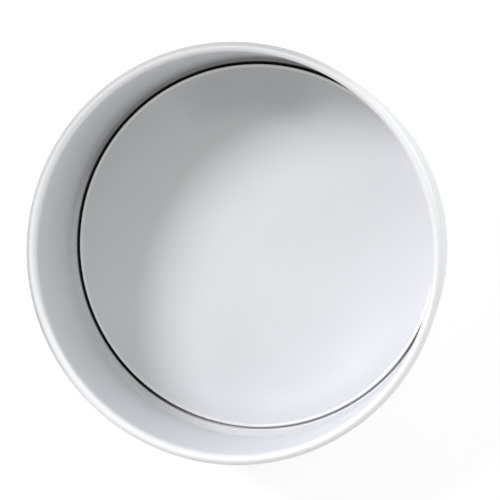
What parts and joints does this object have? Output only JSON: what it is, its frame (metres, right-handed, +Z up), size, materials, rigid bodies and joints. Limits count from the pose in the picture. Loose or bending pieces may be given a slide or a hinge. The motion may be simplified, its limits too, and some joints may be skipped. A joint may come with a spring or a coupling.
{
  "type": "round cake tin",
  "caption": "Deep round cake tin with straight sides, a hollow rolled rim and a loose flat base that lifts out through the mouth.",
  "frame": {"origin": "middle of the underside, on the surface that the tin stands on", "axes": "+Z up the tin's axis, towards its mouth; the tin is round about Z"},
  "size_m": [0.2132, 0.2132, 0.0762],
  "materials": {
    "ring_aluminium": "satin anodised, fine matt grain",
    "base_aluminium": "satin anodised, fine matt grain"
  },
  "bodies": {
    "side_ring": {"side_ring": "ring_aluminium"},
    "loose_base": {"loose_base": "base_aluminium"}
  },
  "joints": [
    {"name": "base_lift", "type": "slide", "parent": "side_ring", "child": "loose_base", "axis": [0, 0, 1], "range_m": [0, 0.085]}
  ]
}
